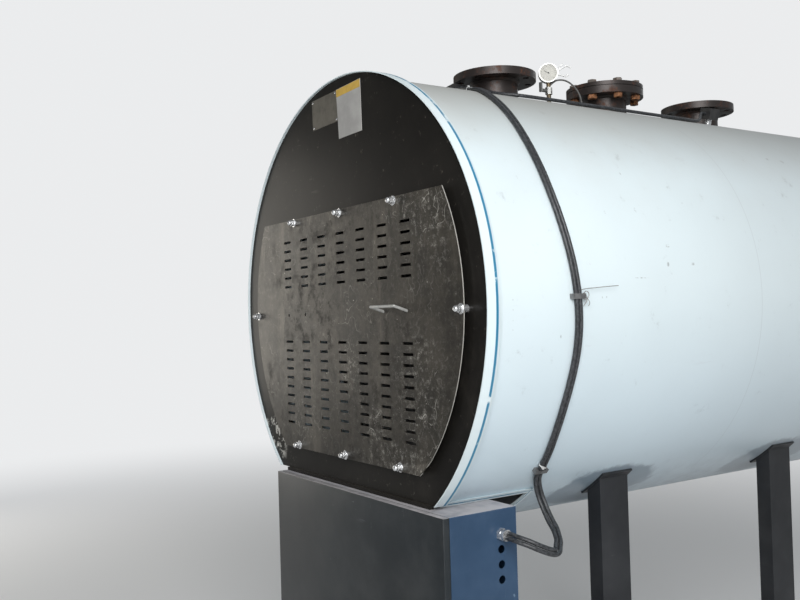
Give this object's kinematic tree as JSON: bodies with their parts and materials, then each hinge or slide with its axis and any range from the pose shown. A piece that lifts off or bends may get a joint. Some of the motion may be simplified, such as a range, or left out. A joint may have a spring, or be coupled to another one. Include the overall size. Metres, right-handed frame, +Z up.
{
  "type": "industrial boiler",
  "caption": "Horizontal electric water boiler: white insulated round vessel, black front with slotted terminal cover, switch cabinet below, flanged nozzles on top, channel legs.",
  "frame": {"origin": "on the floor, under the middle of the boiler's box", "axes": "+X is the right side seen from the front, +Y runs from the front plate to the rear, +Z is up"},
  "size_m": [1.42, 2.3958, 2.417],
  "materials": {
    "white_sheet": "satin cool white, dusty and scraped",
    "black_sheet": "satin black, dusty and smeared",
    "cover_sheet": "scuffed dark brown grey",
    "leg_paint": "matte black",
    "cabinet_paint": "satin slate blue, dusty and scuffed",
    "edge_trim": "film-covered blue and white",
    "flange_steel": "dark rolled steel with light rust",
    "vessel_steel": "plain rolled steel",
    "heater_steel": "machined",
    "zinc_steel": "bright zinc",
    "rusty_bolts": "rusted",
    "gauge_metal": "polished",
    "gauge_brass": "dull",
    "sensor_plastic": "matte black",
    "cable_sheath": "matte grey black",
    "gasket": "matte",
    "mineral_wool": "loose fibre"
  },
  "bodies": {
    "root": {"vessel_upper_shell": "vessel_steel", "vessel_lower_shell": "vessel_steel", "vessel_front_head": "vessel_steel", "vessel_rear_head": "vessel_steel", "heaters": "heater_steel", "insulation": "mineral_wool", "closing_plate": "vessel_steel", "cladding_left_sheet": "white_sheet", "cladding_right_sheet": "white_sheet", "chamber_hood": "white_sheet", "front_band": "white_sheet", "front_plate": "black_sheet", "rear_band": "white_sheet", "rear_plate": "black_sheet", "cut_edge_trim": "edge_trim", "front_sill": "black_sheet", "terminal_cover": "cover_sheet", "cover_studs": "zinc_steel", "pull_handle": "zinc_steel", "cabinet_top": "cabinet_paint", "cabinet_left_side": "cabinet_paint", "cabinet_right_side": "cabinet_paint", "cabinet_back": "cabinet_paint", "cabinet_base": "cabinet_paint", "cabinet_door": "cabinet_paint", "front_left_leg": "leg_paint", "front_right_leg": "leg_paint", "rear_left_leg": "leg_paint", "rear_right_leg": "leg_paint", "foot_plates": "leg_paint", "wear_plates": "leg_paint", "nozzle_necks": "flange_steel", "nozzle_flanges": "flange_steel", "blind_flange": "flange_steel", "blind_flange_gasket": "gasket", "blind_flange_bolts": "rusty_bolts", "gauge_case": "gauge_metal", "gauge_stem": "gauge_brass", "gauge_cock": "gauge_metal", "sensor_pockets": "zinc_steel", "sensor_heads": "sensor_plastic", "ridge_cable": "cable_sheath", "drop_cable_1": "cable_sheath", "drop_cable_2": "cable_sheath", "cable_gland": "zinc_steel", "cable_clips": "zinc_steel"}
  },
  "joints": []
}
